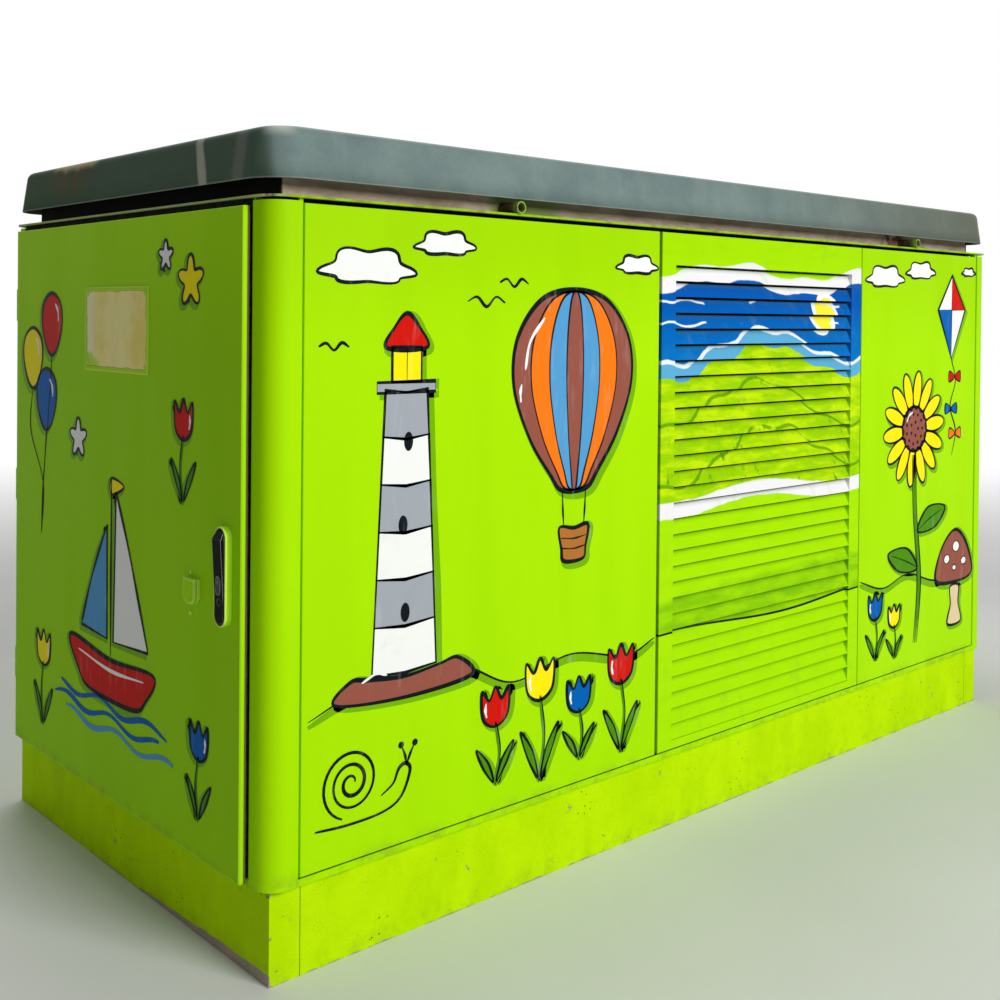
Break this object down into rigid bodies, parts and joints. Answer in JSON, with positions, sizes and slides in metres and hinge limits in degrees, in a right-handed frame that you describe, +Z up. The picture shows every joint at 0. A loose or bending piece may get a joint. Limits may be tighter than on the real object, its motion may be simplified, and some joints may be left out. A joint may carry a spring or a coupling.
{
  "type": "roadside utility cabinet",
  "caption": "Long lime-green roadside substation cabinet with a grey hood lid, louvred panel, doors at both ends and a painted concrete plinth.",
  "frame": {"origin": "centre of the footprint, on the ground under the plinth", "axes": "+Z up, +X along the long front towards the right end, -Y out of the long front"},
  "size_m": [3.193, 1.428, 1.848],
  "materials": {
    "green_paint": "brushed-on gloss paint, weathered",
    "painted_concrete": "cast concrete under the same green paint",
    "lid_grey": "weathered glass-fibre moulding",
    "collar_paint": "dull weathered primer",
    "tube_steel": "painted steel tube, chipped",
    "galvanised": "zinc coated",
    "seal_rubber": "dull",
    "lever_black": "satin",
    "lock_steel": "worn",
    "sign_cream": "faded",
    "transformer_paint": "satin",
    "porcelain": "glossy glaze",
    "gear_paint": "satin",
    "panel_plastic": "moulded",
    "busbar_metal": "bare metal",
    "fuse_ceramic": "glazed"
  },
  "bodies": {
    "housing": {"base_frame": "green_paint", "corner_post_front_left": "green_paint", "corner_post_front_right": "green_paint", "corner_post_rear_left": "green_paint", "corner_post_rear_right": "green_paint", "top_frame": "green_paint", "front_panel_left": "green_paint", "front_panel_right": "green_paint", "rear_panel_left": "green_paint", "rear_panel_right": "green_paint", "front_louvre_frame": "green_paint", "rear_louvre_frame": "green_paint", "front_louvre_slats": "green_paint", "rear_louvre_slats": "green_paint", "left_hinge_bases": "green_paint", "right_hinge_bases": "green_paint", "plinth_frame": "painted_concrete", "plinth_front_plate": "painted_concrete", "lid": "lid_grey", "roof_collar": "collar_paint", "lifting_tubes": "tube_steel", "mullions": "galvanised", "partition_walls": "galvanised", "floor_plates": "galvanised", "transformer_rails": "galvanised", "switchgear_base": "galvanised", "lv_board_frame": "galvanised", "lv_cable_rail": "galvanised", "left_door_frame": "galvanised", "right_door_frame": "galvanised", "switchgear_switch_shafts": "lock_steel", "transformer_tank": "transformer_paint", "transformer_cover": "transformer_paint", "transformer_hv_bushings": "porcelain", "transformer_lv_bushings": "porcelain", "switchgear_body": "gear_paint", "switchgear_covers": "gear_paint", "switchgear_control_panel": "panel_plastic", "lv_fuse_strips": "panel_plastic", "lv_board_busbars": "busbar_metal", "lv_neutral_bar": "busbar_metal", "lv_fuse_links": "fuse_ceramic"},
    "left_door": {"left_door_leaf": "green_paint", "left_door_seal": "seal_rubber", "left_hinge_barrels": "green_paint", "left_lock_gear": "galvanised", "left_handle_housing": "green_paint", "left_key_hood": "green_paint", "sign_plate": "sign_cream"},
    "left_lever": {"left_handle_lever": "lever_black", "left_lock_cylinder": "lock_steel"},
    "right_door": {"right_door_leaf": "green_paint", "right_door_seal": "seal_rubber", "right_hinge_barrels": "green_paint", "right_lock_gear": "galvanised", "right_handle_housing": "green_paint", "right_key_hood": "green_paint"},
    "right_lever": {"right_handle_lever": "lever_black", "right_lock_cylinder": "lock_steel"}
  },
  "joints": [
    {"name": "left_door_hinge", "type": "hinge", "parent": "housing", "child": "left_door", "pos_m": [-1.5605, 0.636, 0.935], "axis": [0, 0, -1], "range_deg": [0, 120]},
    {"name": "right_door_hinge", "type": "hinge", "parent": "housing", "child": "right_door", "pos_m": [1.5605, 0.636, 0.935], "axis": [0, 0, 1], "range_deg": [0, 120]},
    {"name": "left_lever_pivot", "type": "hinge", "parent": "left_door", "child": "left_lever", "pos_m": [-1.583, -0.564, 0.956], "axis": [0, 1, 0], "range_deg": [0, 35]},
    {"name": "right_lever_pivot", "type": "hinge", "parent": "right_door", "child": "right_lever", "pos_m": [1.583, -0.564, 0.956], "axis": [0, -1, 0], "range_deg": [0, 35]}
  ]
}
